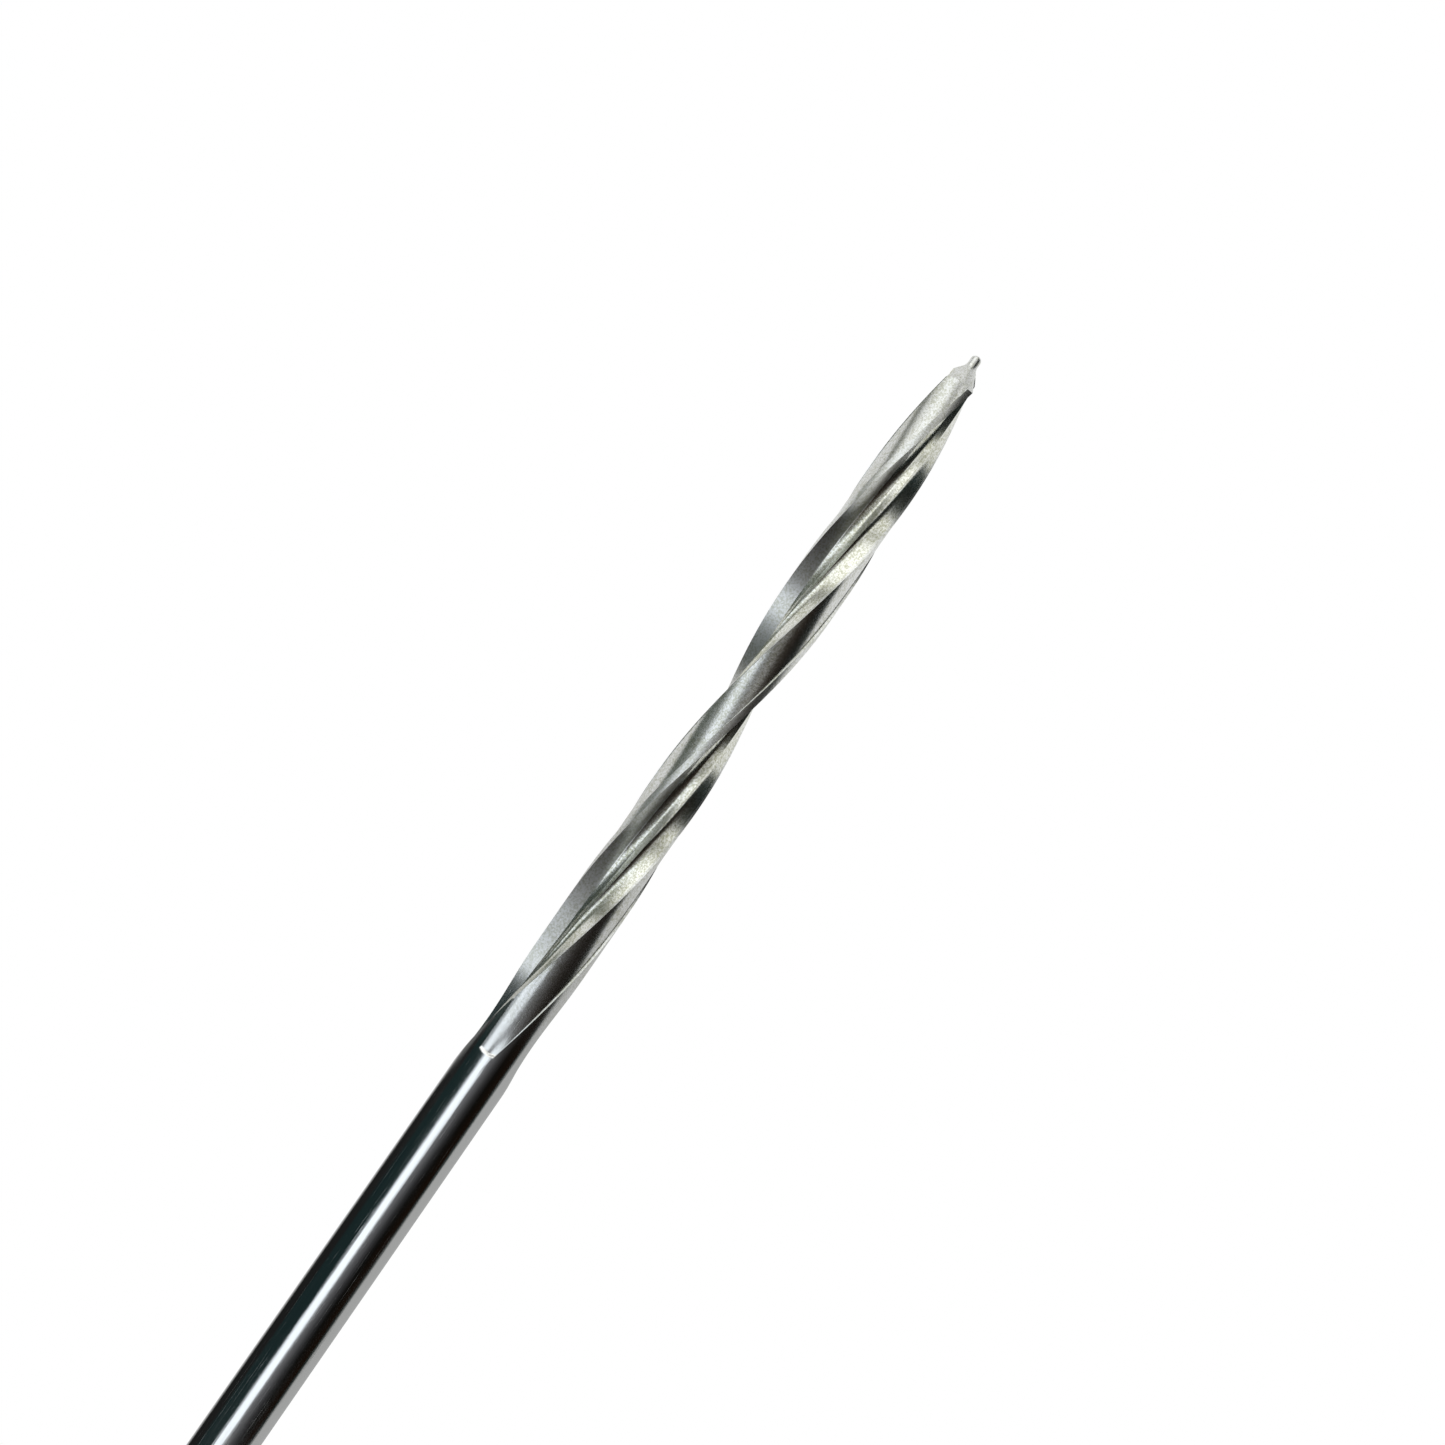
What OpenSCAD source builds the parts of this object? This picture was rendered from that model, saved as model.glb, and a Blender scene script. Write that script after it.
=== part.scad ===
// Ice screw with a solid, polished steel shank. Two helical flutes carry the ice chips back
// from a conical cutting point with a small pilot nib. At the other end a bent plate hanger
// takes a carabiner, and a crank with a turning knob folds out of the hanger's upper arm.
// The screw's axis is X with the point toward +X. The hanger's ice-side face is x = 0, its
// carabiner ear hangs toward -Z and its crank arm stands toward +Z. All sizes are millimetres.

/* [Shank] */
// Diameter of the round shank
shank_d = 10; // [9.6:0.1:10.4]
// Length from the hanger's ice-side face to the end of the pilot nib
reach = 235; // [200:1:260]
// Length from the end of the nib back to where the flutes begin
fluted_len = 151.2; // [120:0.1:180]
// Length in which one flute makes a full turn
helix_pitch = 133; // [110:1:160]
// Depth of the ground clearance behind each cutting margin, as a share of the radius
clearance_depth = 0.065; // [0.03:0.005:0.09]
// Length over which a flute sinks from the surface to its full depth
runout_len = 38; // [30:1:50]

/* [Point] */
// Included angle of the conical point
point_angle = 78; // [70:1:110]
// Radius of the pilot nib
nib_r = 1.0; // [0.8:0.05:1.2]
// Length of the pilot nib, past the cone
nib_len = 2.45; // [1.5:0.05:4]
// How far the heel of each point flank falls back behind its lip
flank_relief = 0.5; // [0.2:0.05:0.8]

/* [Hanger] */
// Thickness of the hanger plate
plate_t = 3; // [3:0.1:3.2]
// Radius of the plate round the shank
collar_r = 12; // [11:0.5:13]
// Height of the crank's fold axis above the screw's axis
fold_z = 42; // [42:0.5:46]
// Distance of the fold axis out from the ice face
fold_x = 10; // [10:0.1:10.4]
// Radius of the round carabiner eye
eye_r = 9; // [8:0.5:10]
// Radius of the ear round the eye
ear_r = 15; // [14.5:0.5:16]
// Angle by which the ear bends away from the ice
ear_angle = 40; // [30:1:45]

/* [Crank and knob] */
// Diameter of the fold pin
fold_pin_d = 4; // [3.6:0.1:4.2]
// Diameter of the stem that the knob turns on
stem_d = 5; // [4.6:0.1:5.2]
// Largest radius of the knob
knob_r = 6.5; // [6:0.1:6.6]
// Radial running clearance of turning pieces
run_gap = 0.05; // [0.03:0.01:0.08]

/* [Hidden] */
$fn = 96;
eps = 0.01;                                // overshoot of a cut past a face
steel = [0.70, 0.72, 0.73];

shank_r = shank_d / 2;
turn_rate = 360 / helix_pitch;             // degrees of turn per millimetre of length
cone_slope = tan(point_angle / 2);         // radius lost per millimetre along the cone
cone_len = (shank_r - nib_r) / cone_slope;
corner_x = reach - nib_len - cone_len;     // where the cone starts at full radius
flute_x = reach - fluted_len;              // where the flutes begin
recess_x = flute_x + 4.2;                  // where the ground clearance begins
recess_ramp = 0.7;                         // length of the ramp down into the clearance
fluted_from = floor(flute_x) - 1;          // end of the plain round shank
join_inset = 0.03;                         // keeps the fluted skin's first ring inside the round shank

// Angles round the section, in a frame that turns with the helix. Half of the section is
// given and the other half is the same turned by 180 degrees.
face_x = 159.8;                            // section whose zero angle points along +Z
margin_start = 16;                         // step from the clearance up to the margin
lip_edge = 31;                             // cutting edge between margin and flute
crease = 100;                              // bottom edge between the flute's two faces
heel_edge = 144;                           // where the flute comes back to the surface
recess_top = -18.5;                        // upper edge of the clearance at its start
wall_angle = 0.5;                          // width of the step wall, so that it has no overhang
crease_r = 0.44;                           // radius at the crease, as a share of the shank's
heel_r = 0.945;                            // radius at the ground heel
flute_sag = 0.25;                          // depth of the concave face below its chord

spigot = 7;                                // square that carries the hanger
stud_r = 4;                                // M8 stud for the head nut
washer_t = 1.6;
spring_t = 2;
nut_t = 6.5;
nut_flats = 13;
nut_face = plate_t + washer_t + spring_t;  // seat of the nut, measured out from the ice face
stud_end = nut_face + nut_t + 2;
roll_pin_r = 1;

arm_half = 9;                              // half width of the crank arm
lug_gap = 12;                              // space between the two lugs
lug_r = 6.5;
bend_in = 1;                               // inner radius of the lug bends
ear_bend_in = 3;                           // inner radius of the ear bend
ear_half = 11;                             // half width of the ear at its bend
ear_bend_z = -13;
eye_reach = 18;                            // eye centre past the bend

yoke_half = lug_gap / 2 - 0.8;
yoke_r = 6.3;
fold_washer_t = 0.6;
detent_out = 4.2;                          // detent hole's distance from the fold axis
ball_r = 1.25;
ball_y = 4.65;
stem_from = 3;                             // distances along the knob, from the fold axis
boss_to = 8;
grip_from = 8.9;
grip_to = 30.3;
flange_t = 0.6;
bush_r = 3.5;
stem_to = 31.1;
end_washer_t = 0.8;
screw_r = 1.25;
screw_head_t = 1.2;

// ---- helpers ----

function smooth(t) = let (u = max(0, min(1, t))) u * u * (3 - 2 * u);
function cross2(a, b) = a[0] * b[1] - a[1] * b[0];
function polar(r, a) = [r * cos(a), r * sin(a)];

// Turns a solid drawn along +Z so that it runs along +X.
module along_x() {
    rotate([0, 90, 0]) children();
}

// Turns a solid drawn along +Z so that it runs along +Y, and centres it on the fold axis.
module on_fold_axis() {
    translate([-fold_x, 0, fold_z]) rotate([-90, 0, 0]) children();
}

// Places a solid drawn along +Z so that it runs down the stored knob from the fold axis.
module down_knob(from = 0) {
    translate([-fold_x, 0, fold_z - from]) rotate([180, 0, 0]) children();
}

// A round tube.
module tube(outer, inner, height) {
    difference() {
        cylinder(r = outer, h = height);
        translate([0, 0, -eps]) cylinder(r = inner, h = height + 2 * eps);
    }
}

// ---- the fluted part of the shank ----

// The concave lip face is an arc from the lip to the crease, and the heel face is flat.
lip_point = polar(1, lip_edge);
crease_point = polar(crease_r, crease);
heel_point = polar(heel_r, heel_edge);
chord = crease_point - lip_point;
chord_len = norm(chord);
arc_r = chord_len * chord_len / (8 * flute_sag) + flute_sag / 2;
arc_centre = (lip_point + crease_point) / 2
    + (arc_r - flute_sag) * [chord[1], -chord[0]] / chord_len;

function on_arc(e) = let (m = arc_centre * e) m - sqrt(arc_r * arc_r - arc_centre * arc_centre + m * m);
function on_line(a, b, e) = cross2(a, b - a) / cross2(e, b - a);

// Radius of the finished flute, as a share of the shank's, at share v of its width.
function flute_shape(v) = let (a = lip_edge + v * (heel_edge - lip_edge), e = polar(1, a))
    a < crease ? on_arc(e) : on_line(crease_point, heel_point, e);

// The flute starts narrow and spreads as it sinks in.
function flute_depth(x) = let (t = max(0, min(1, (x - flute_x) / runout_len))) 1 - (1 - t) * (1 - t);
function lip_angle(x) = let (d = max(0, x - flute_x), open = 1 - pow(1 - min(1, d / 24), 3))
    lip_edge + 76 * (1 - 0.72 * open - 0.28 * smooth((d - 20) / 14));
function heel_angle(x) = heel_edge - 25 / (1 + max(0, x - flute_x) / 12);

// The clearance starts with an edge parallel to the axis, which runs out into the flute.
function recess_angle(x) = max(heel_angle(x) - 180 + wall_angle, recess_top - turn_rate * (x - recess_x));
function recess_depth(x) = clearance_depth * smooth((x - recess_x) / recess_ramp);
function land_drop(x) = let (width = recess_angle(x) - (heel_angle(x) - 180) - wall_angle)
    (1 - heel_r) * (1 - smooth(width / 1.5));

// Columns round half a section: [zone, share across the zone].
LAND = 0;
FLOOR = 1;
MARGIN = 2;
FLUTE = 3;
crease_v = (crease - lip_edge) / (heel_edge - lip_edge);
half_columns = concat(
    [for (i = [0:1]) [LAND, i]],
    [for (i = [0:6]) [FLOOR, i / 6]],
    [for (i = [0:2]) [MARGIN, i / 3]],
    [for (i = [0:7]) [FLUTE, crease_v * i / 8]],
    [for (i = [0:3]) [FLUTE, crease_v + (1 - crease_v) * i / 4]]
);
half_count = len(half_columns);
count = 2 * half_count;

function column_angle(x, c) = let (zone = c[0], v = c[1])
    zone == LAND ? heel_angle(x) - 180 + v * (recess_angle(x) - heel_angle(x) + 180 - wall_angle / 2)
    : zone == FLOOR ? recess_angle(x) + v * (margin_start - wall_angle - recess_angle(x))
    : zone == MARGIN ? margin_start + v * (lip_angle(x) - margin_start)
    : lip_angle(x) + v * (heel_angle(x) - lip_angle(x));

function column_r(x, c) = let (zone = c[0], v = c[1])
    zone == LAND ? shank_r * (1 - land_drop(x))
    : zone == FLOOR ? shank_r * (1 - recess_depth(x) * (1 + 0.5 * sin(180 * v)))
    : zone == MARGIN ? shank_r
    : shank_r * (1 - flute_depth(x) * (1 - flute_shape(v)));

// How far a column lies behind the lip on the point's flank, from 0 at the lip to 1.
function flank_share(c) = let (zone = c[0], v = c[1])
    zone == LAND ? 1
    : zone == FLOOR ? 1 - 0.75 * v
    : zone == MARGIN ? 0.25 * (1 - v)
    : smooth((v - 0.45) / 0.4);

function cone_x(r, c) = corner_x + (shank_r - r) / cone_slope
    - flank_relief * flank_share(c) * (r - nib_r) / (shank_r - nib_r);

function at(x, r, a) = [x, -r * sin(a), r * cos(a)];
function column_at(x, j) = half_columns[j % half_count];
function swept(x, j) = column_angle(x, half_columns[j % half_count])
    + (j < half_count ? 0 : 180) + turn_rate * (x - face_x);

function body_ring(x, inset = 0) = [for (j = [0:count - 1])
    at(x, column_r(x, half_columns[j % half_count]) - inset, swept(x, j))];

// A ring on the cone, at share t of the way from the section's edge to the nib.
function point_ring(t) = [for (j = [0:count - 1])
    let (c = half_columns[j % half_count],
         edge_r = column_r(corner_x, c),
         edge_x = cone_x(edge_r, c),
         r = edge_r + (nib_r - edge_r) * t)
    at(cone_x(r, c), r, swept(edge_x, j))];

function nib_ring(x, r) = [for (j = [0:count - 1])
    let (edge_x = cone_x(column_r(corner_x, half_columns[j % half_count]), half_columns[j % half_count]))
    at(x, r, swept(edge_x, j))];

body_rings = 54;
body_step = (corner_x - 1 - recess_x - recess_ramp) / body_rings;
ring_places = concat(
    [fluted_from + 0.5],
    [for (i = [0:6]) flute_x + i * 0.6],
    [for (i = [0:2]) recess_x + i * recess_ramp / 2],
    [for (i = [1:body_rings]) recess_x + recess_ramp + i * body_step]
);
nib_round = 0.8;                           // length of the nib's rounded end

// One closed skin: rings along the body, across the cone and over the nib.
rings = concat(
    [body_ring(fluted_from - 0.5, join_inset)],
    [for (x = ring_places) body_ring(x)],
    [for (t = [0, 0.5]) point_ring(t)],
    [nib_ring(reach - nib_len, nib_r)],
    [for (a = [0, 25, 50, 72]) nib_ring(reach - nib_round * (1 - sin(a)), nib_r * cos(a))]
);
ring_count = len(rings);
skin_points = concat([for (ring = rings) each ring], [[reach, 0, 0]]);
skin_faces = concat(
    [[for (j = [0:count - 1]) j]],
    [for (i = [0:ring_count - 2], j = [0:count - 1])
        let (k = (j + 1) % count)
        each [[i * count + j, (i + 1) * count + j, (i + 1) * count + k],
              [i * count + j, (i + 1) * count + k, i * count + k]]],
    [for (j = [0:count - 1])
        [(ring_count - 1) * count + j, ring_count * count, (ring_count - 1) * count + (j + 1) % count]]
);

module fluted_length() {
    polyhedron(points = skin_points, faces = skin_faces, convexity = 8);
}

// ---- root body ----

module screw_shank() {
    color(steel) union() {
        along_x() cylinder(r = shank_r, h = fluted_from);
        fluted_length();
        translate([-plate_t, -spigot / 2, -spigot / 2]) cube([plate_t + 1, spigot, spigot]);
        difference() {
            translate([-stud_end, 0, 0]) along_x() cylinder(r = stud_r, h = stud_end - plate_t + 1);
            roll_pin_hole();
        }
    }
}

module roll_pin_hole() {
    translate([-nut_face - nut_t / 2, 0, 0]) rotate([90, 0, 0])
        cylinder(r = roll_pin_r, h = 30, center = true);
}

// Side view of the whole bent sheet, drawn with X as x and Y as z.
bend_centre = [-plate_t - ear_bend_in, ear_bend_z];
ear_dir = [-sin(ear_angle), -cos(ear_angle)];

function arc(centre, r, from, to, steps) = [for (i = [0:steps]) centre + polar(r, from + (to - from) * i / steps)];

module sheet_side() {
    top = 60;
    ear_len = eye_reach + ear_r + 5;
    outer = arc(bend_centre, ear_bend_in + plate_t, 0, -ear_angle, 12);
    inner = arc(bend_centre, ear_bend_in, -ear_angle, 0, 12);
    polygon(concat([[0, top]], outer, [outer[12] + ear_len * ear_dir, inner[0] + ear_len * ear_dir],
                   inner, [[-plate_t, top]]));
}

// Places a flat drawing, with X as the distance past the bend, in the plane of the ear.
module on_ear(thickness) {
    translate([bend_centre[0], 0, bend_centre[1]]) rotate([0, ear_angle, 0])
        translate([ear_bend_in + plate_t / 2, 0, 0]) rotate([0, 90, 0])
            linear_extrude(height = thickness, center = true) children();
}

// Outline from the front: collar, crank arm and the root of the ear.
module front_outline() {
    circle(r = collar_r);
    translate([0, -arm_half]) square([fold_z - lug_r - 1, 2 * arm_half]);
    translate([0, -arm_half + plate_t + bend_in]) square([fold_z + lug_r, 2 * (arm_half - plate_t - bend_in)]);
    translate([ear_bend_z - 3, -ear_half]) square([3 - ear_bend_z, 2 * ear_half]);
}

module ear_outline() {
    shoulder = 4;                          // the ear's sides meet the round end this far above the eye
    polygon([[-1, -ear_half], [0, -ear_half], [eye_reach - shoulder, -ear_r + 0.55],
             [eye_reach - shoulder, ear_r - 0.55], [0, ear_half], [-1, ear_half]]);
    translate([eye_reach, 0]) circle(r = ear_r);
}

// Long slot in the arm, which lets a finger push the knob out.
module finger_slot() {
    slot_r = 4.5;
    slot_from = 18;
    slot_to = 28;
    translate([slot_from, 0]) circle(r = slot_r);
    translate([slot_to, 0]) circle(r = slot_r);
    translate([slot_from, -slot_r]) square([slot_to - slot_from, 2 * slot_r]);
}

// The flat plate, the bend and the ear.
module bent_sheet() {
    hole = spigot + 0.1;
    difference() {
        intersection() {
            rotate([90, 0, 0]) linear_extrude(height = 40, center = true) sheet_side();
            union() {
                translate([5, 0, 0]) rotate([0, -90, 0]) linear_extrude(height = 15) front_outline();
                on_ear(8) ear_outline();
            }
        }
        translate([eps, 0, 0]) rotate([0, -90, 0]) linear_extrude(height = plate_t + 2 * eps) {
            square(hole, center = true);
            finger_slot();
        }
        on_ear(20) translate([eye_reach, 0]) circle(r = eye_r);
    }
}

// One lug, bent up from the arm's edge on the +Y side.
module lug() {
    bend_y = arm_half - plate_t - bend_in;
    bend_x = -plate_t - bend_in;
    dimple_r = 1.6;
    dimple_depth = 0.7;
    translate([bend_x, bend_y, fold_z - lug_r])
        rotate_extrude(angle = 90) translate([bend_in, 0]) square([plate_t, 2 * lug_r]);
    difference() {
        translate([0, arm_half - plate_t, 0]) rotate([-90, 0, 0]) linear_extrude(height = plate_t) {
            translate([-fold_x, -fold_z]) circle(r = lug_r);
            translate([-fold_x, -fold_z - lug_r]) square([fold_x + bend_x, 2 * lug_r]);
        }
        on_fold_axis() cylinder(r = fold_pin_d / 2, h = 2 * arm_half);
        for (place = [[0, detent_out], [detent_out, 0]])
            translate([-fold_x + place[0], lug_gap / 2 - dimple_r + dimple_depth, fold_z + place[1]])
                sphere(r = dimple_r);
    }
}

module hanger() {
    color([0.62, 0.64, 0.66]) union() {
        bent_sheet();
        lug();
        mirror([0, 1, 0]) lug();
    }
}

module plain_washer() {
    color(steel) translate([-plate_t - washer_t, 0, 0]) along_x() tube(8, 4.2, washer_t);
}

// A split ring, pressed flat under the nut.
module spring_washer() {
    color([0.35, 0.36, 0.38]) translate([-nut_face, 0, 0]) along_x() difference() {
        tube(7, 4.2, spring_t);
        rotate([0, 0, 35]) translate([5.6, 0, spring_t / 2]) rotate([30, 0, 0]) cube([6, 0.7, 8], center = true);
    }
}

module head_nut() {
    corner_r = nut_flats / 2 / cos(30);
    chamfer = 0.7;
    color(steel) difference() {
        translate([-nut_face - nut_t, 0, 0]) along_x() difference() {
            intersection() {
                cylinder(r = corner_r, h = nut_t, $fn = 6);
                union() {
                    cylinder(r1 = corner_r - chamfer, r2 = corner_r + 0.1, h = chamfer);
                    translate([0, 0, chamfer - eps]) cylinder(r = corner_r + 0.1, h = nut_t - 2 * chamfer + 2 * eps);
                    translate([0, 0, nut_t - chamfer])
                        cylinder(r1 = corner_r + 0.1, r2 = corner_r - chamfer, h = chamfer);
                }
            }
            translate([0, 0, -eps]) cylinder(r = stud_r + 0.02, h = nut_t + 2 * eps);
        }
        roll_pin_hole();
    }
}

// A rolled sheet pin with its slot facing the screw's point.
module nut_roll_pin() {
    length = 14;
    color([0.45, 0.46, 0.48]) translate([-nut_face - nut_t / 2, length / 2, 0]) rotate([90, 0, 0]) difference() {
        tube(roll_pin_r, 0.6, length);
        translate([0, -0.15, -eps]) cube([roll_pin_r + 1, 0.3, length + 2 * eps]);
    }
}

module fold_pin() {
    head_r = 3.5;
    head_t = 1.5;
    shaft_end = -10.7;
    color(steel) on_fold_axis() difference() {
        union() {
            translate([0, 0, shaft_end]) cylinder(r = fold_pin_d / 2, h = arm_half - shaft_end);
            translate([0, 0, arm_half]) cylinder(r = head_r, h = head_t);
        }
        translate([0, 0, -9.8]) tube(3, 1.5, 0.7);
    }
}

// An open retaining clip in the pin's groove.
module fold_pin_clip() {
    color([0.30, 0.31, 0.33]) on_fold_axis() translate([0, 0, -9.75]) difference() {
        cylinder(r = 3.6, h = 0.6);
        translate([0, 0, -eps]) cylinder(r = 1.52, h = 0.6 + 2 * eps);
        translate([-1.45, 0, -eps]) cube([2.9, 5, 0.6 + 2 * eps]);
        for (side = [-1, 1])
            translate([2.3 * side, 0.6, -eps]) cylinder(r = 0.75, h = 0.6 + 2 * eps);
    }
}

module fold_washer(side) {
    color([0.80, 0.80, 0.78]) on_fold_axis() translate([0, 0, side > 0 ? lug_gap / 2 - fold_washer_t : -lug_gap / 2])
        tube(3.2, fold_pin_d / 2 + run_gap, fold_washer_t);
}

module fold_washer_left() {
    fold_washer(1);
}

module fold_washer_right() {
    fold_washer(-1);
}

// ---- crank body, which folds on the pin ----

module fold_yoke() {
    color([0.55, 0.57, 0.60]) difference() {
        union() {
            on_fold_axis() cylinder(r = yoke_r, h = 2 * yoke_half, center = true);
            down_knob() cylinder(r = 4.5, h = boss_to);
        }
        on_fold_axis() cylinder(r = fold_pin_d / 2 + run_gap, h = 20, center = true);
        on_fold_axis() translate([0, -detent_out, 0]) cylinder(r = ball_r + 0.03, h = 20, center = true);
        down_knob(stem_from) cylinder(r = stem_d / 2, h = 10);
    }
}

module detent_balls() {
    color(steel) for (side = [-1, 1])
        translate([-fold_x, side * ball_y, fold_z + detent_out]) sphere(r = ball_r);
}

// A coil of wire between the two balls.
module detent_spring() {
    wire_r = 0.17;
    coil_r = 0.95;
    turns = 6;
    steps = 12;
    sides = 6;
    half_len = ball_y - ball_r - 0.05 - wire_r;
    total = turns * steps;
    points = [for (i = [0:total], k = [0:sides - 1])
        let (a = 360 * i / steps, b = 360 * k / sides, r = coil_r + wire_r * cos(b))
        [r * cos(a), r * sin(a), -half_len + 2 * half_len * i / total + wire_r * sin(b)]];
    faces = concat(
        [[for (k = [sides - 1:-1:0]) k], [for (k = [0:sides - 1]) total * sides + k]],
        [for (i = [0:total - 1], k = [0:sides - 1])
            let (n = (k + 1) % sides, p = i * sides, q = p + sides)
            each [[p + k, p + n, q + n], [p + k, q + n, q + k]]]
    );
    color([0.5, 0.5, 0.52]) translate([-fold_x, 0, fold_z + detent_out]) rotate([-90, 0, 0])
        polyhedron(points = points, faces = faces, convexity = 8);
}

module knob_stem() {
    color(steel) down_knob(stem_from) difference() {
        cylinder(r = stem_d / 2, h = stem_to - stem_from);
        translate([0, 0, stem_to - stem_from - 7]) cylinder(r = screw_r, h = 8);
    }
}

module knob_end_washer() {
    color(steel) down_knob(stem_to) tube(4.2, screw_r + run_gap, end_washer_t);
}

module knob_end_screw() {
    head_r = 2.3;
    thread_len = 6;
    color([0.25, 0.26, 0.28]) down_knob(stem_to - thread_len) difference() {
        union() {
            cylinder(r = screw_r, h = thread_len + end_washer_t + eps);
            translate([0, 0, thread_len + end_washer_t]) cylinder(r1 = head_r, r2 = head_r - 0.5, h = screw_head_t);
        }
        translate([0, 0, thread_len + end_washer_t + 0.3]) cylinder(r = 0.85, h = 2, $fn = 6);
    }
}

// ---- knob body, which turns on the stem ----

module knob_bush(from, flange_from) {
    color([0.78, 0.66, 0.35]) down_knob() difference() {
        union() {
            translate([0, 0, from]) cylinder(r = bush_r, h = 6);
            translate([0, 0, flange_from]) cylinder(r = 4.4, h = flange_t);
        }
        cylinder(r = stem_d / 2 + run_gap, h = 40);
    }
}

module knob_bush_inner() {
    knob_bush(grip_from, grip_from - flange_t);
}

module knob_bush_outer() {
    knob_bush(grip_to - 6, grip_to);
}

band_from = 24.6;
band_len = 2.4;
band_in = 5.6;

// A waisted barrel with round ends, six shallow finger flutes and a groove for the band.
module knob_grip() {
    length = grip_to - grip_from;
    edge = 1.2;
    waist_r = 24;
    color([0.10, 0.10, 0.11]) down_knob(grip_from) difference() {
        rotate_extrude() difference() {
            union() {
                translate([0, edge]) square([knob_r, length - 2 * edge]);
                square([knob_r - edge, length]);
                for (z = [edge, length - edge])
                    translate([knob_r - edge, z]) circle(r = edge, $fn = 48);
            }
            translate([knob_r + waist_r - 0.7, length / 2 - 1.2]) circle(r = waist_r, $fn = 200);
            translate([-10, -1]) square([10 + bush_r, length + 2]);
            translate([band_in, band_from - grip_from]) square([5, band_len]);
        }
        for (i = [0:5])
            rotate([0, 0, 60 * i]) translate([knob_r + 1.7, 0, 3]) {
                cylinder(r = 2.2, h = 11);
                sphere(r = 2.2);
                translate([0, 0, 11]) sphere(r = 2.2);
            }
    }
}

module knob_colour_band() {
    color([0.75, 0.14, 0.10]) down_knob(band_from + 0.05) tube(knob_r - 0.15, band_in + 0.02, band_len - 0.1);
}

screw_shank();
hanger();
plain_washer();
spring_washer();
head_nut();
nut_roll_pin();
fold_yoke();
fold_pin();
fold_pin_clip();
fold_washer_left();
fold_washer_right();
detent_balls();
detent_spring();
knob_stem();
knob_bush_inner();
knob_bush_outer();
knob_grip();
knob_colour_band();
knob_end_washer();
knob_end_screw();
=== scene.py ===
# %% [markdown]
# # A solid, fluted ice screw, polished like a mirror
#
# This lesson dresses a finished CAD assembly in Blender. The CAD model holds every size and
# every joint. Here each piece gets its real surface: ground flutes, rounded sheet edges,
# rolled threads, moulded plastic. All lengths are in metres, so one millimetre is 0.001.

# %% Load the frame
import math

import bmesh
import bpy
import numpy as np
from mathutils import Matrix, Vector


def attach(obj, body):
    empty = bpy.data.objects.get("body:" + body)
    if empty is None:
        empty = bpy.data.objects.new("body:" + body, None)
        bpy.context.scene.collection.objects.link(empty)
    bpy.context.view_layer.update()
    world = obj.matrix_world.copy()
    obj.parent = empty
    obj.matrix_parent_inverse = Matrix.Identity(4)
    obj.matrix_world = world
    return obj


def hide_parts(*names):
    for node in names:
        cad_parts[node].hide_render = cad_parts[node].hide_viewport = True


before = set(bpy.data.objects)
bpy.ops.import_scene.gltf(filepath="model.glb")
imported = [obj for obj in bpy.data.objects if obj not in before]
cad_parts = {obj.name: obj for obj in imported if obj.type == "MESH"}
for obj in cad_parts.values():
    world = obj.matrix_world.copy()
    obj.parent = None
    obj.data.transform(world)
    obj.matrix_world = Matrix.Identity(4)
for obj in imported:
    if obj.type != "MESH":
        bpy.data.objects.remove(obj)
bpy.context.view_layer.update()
MM = 0.001

# %% [markdown]
# ## Small tools for the bench
#
# Blender's operators act on whatever is selected, so every step starts by clearing the
# selection. A finished piece has its modifiers applied and its place in its mesh.

# %% Helpers
def choose(piece):
    """Selects one piece and makes it the active one."""
    bpy.ops.object.select_all(action="DESELECT")
    piece.select_set(True)
    bpy.context.view_layer.objects.active = piece


def edit_all(piece):
    """Enters edit mode with everything on the piece selected."""
    choose(piece)
    bpy.ops.object.mode_set(mode="EDIT")
    bpy.ops.mesh.select_all(action="SELECT")


def leave_edit():
    bpy.ops.object.mode_set(mode="OBJECT")


def apply_all(piece):
    """Applies the piece's modifiers and its place, so that its mesh holds its true shape."""
    choose(piece)
    for modifier in list(piece.modifiers):
        bpy.ops.object.modifier_apply(modifier=modifier.name)
    bpy.ops.object.transform_apply(location=True, rotation=True, scale=True)


def smooth_by_angle(piece, degrees=30):
    choose(piece)
    bpy.ops.object.shade_smooth_by_angle(angle=math.radians(degrees))


def named(name):
    """The object that an operator has just added, under its own name."""
    piece = bpy.context.active_object
    piece.name = name
    piece.data.name = name
    return piece


def report(piece):
    size = [round(d / MM, 1) for d in piece.dimensions]
    print(piece.name, "has", len(piece.data.polygons), "faces and measures", size, "mm")


# %% [markdown]
# ## The fluted shank
#
# On the real screw a grinding wheel ploughs two helical flutes into a hardened round rod and
# runs out at the top, then a second wheel takes a whisker off behind each cutting margin.
# Extruding a twisted outline can't show either run-out, because the outline itself changes
# along the rod. So the rod starts as a flat grid, and every grid line across is rolled into
# the section that belongs to its place along the axis. The columns of the grid follow the
# moving edges, which keeps the lips, heels and margins crisp.

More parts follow.
